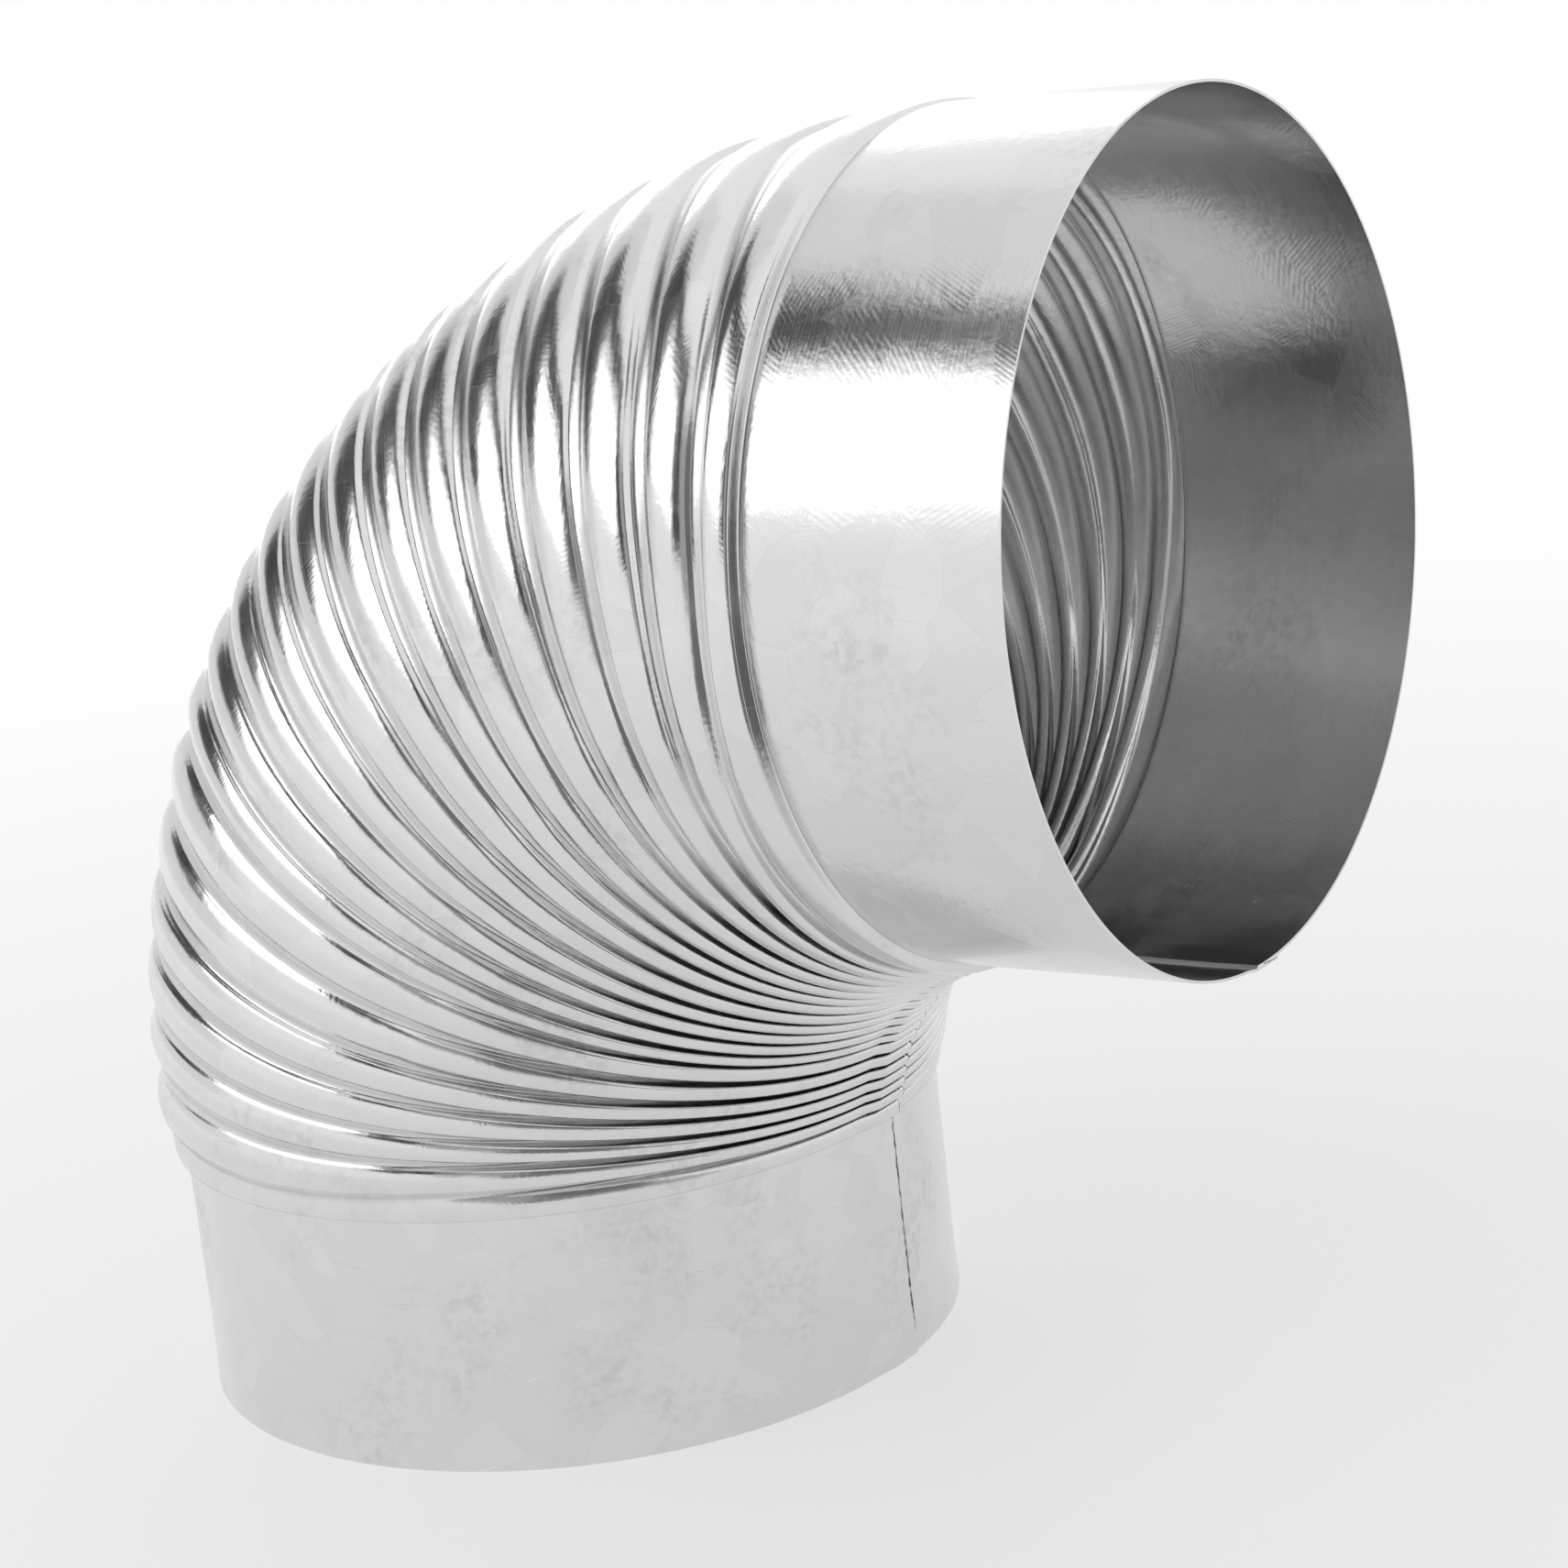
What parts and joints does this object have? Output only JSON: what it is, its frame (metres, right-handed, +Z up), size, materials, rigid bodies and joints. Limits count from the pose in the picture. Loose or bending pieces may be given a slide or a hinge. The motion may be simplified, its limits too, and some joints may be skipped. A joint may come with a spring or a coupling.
{
  "type": "stove pipe elbow",
  "caption": "Corrugated right-angle elbow for round stove pipe, with a plain socket at one end and a plain spigot at the other.",
  "frame": {"origin": "centre of the socket's open rim, which is the face the elbow stands on", "axes": "+Z up the socket's axis into the bend, +X the way the spigot points, XZ the plane of the bend"},
  "size_m": [0.1898, 0.1286, 0.1903],
  "materials": {
    "galvanised_sheet": "bright galvanised, semi-gloss with fine spangle"
  },
  "bodies": {
    "root": {"elbow": "galvanised_sheet"}
  },
  "joints": []
}
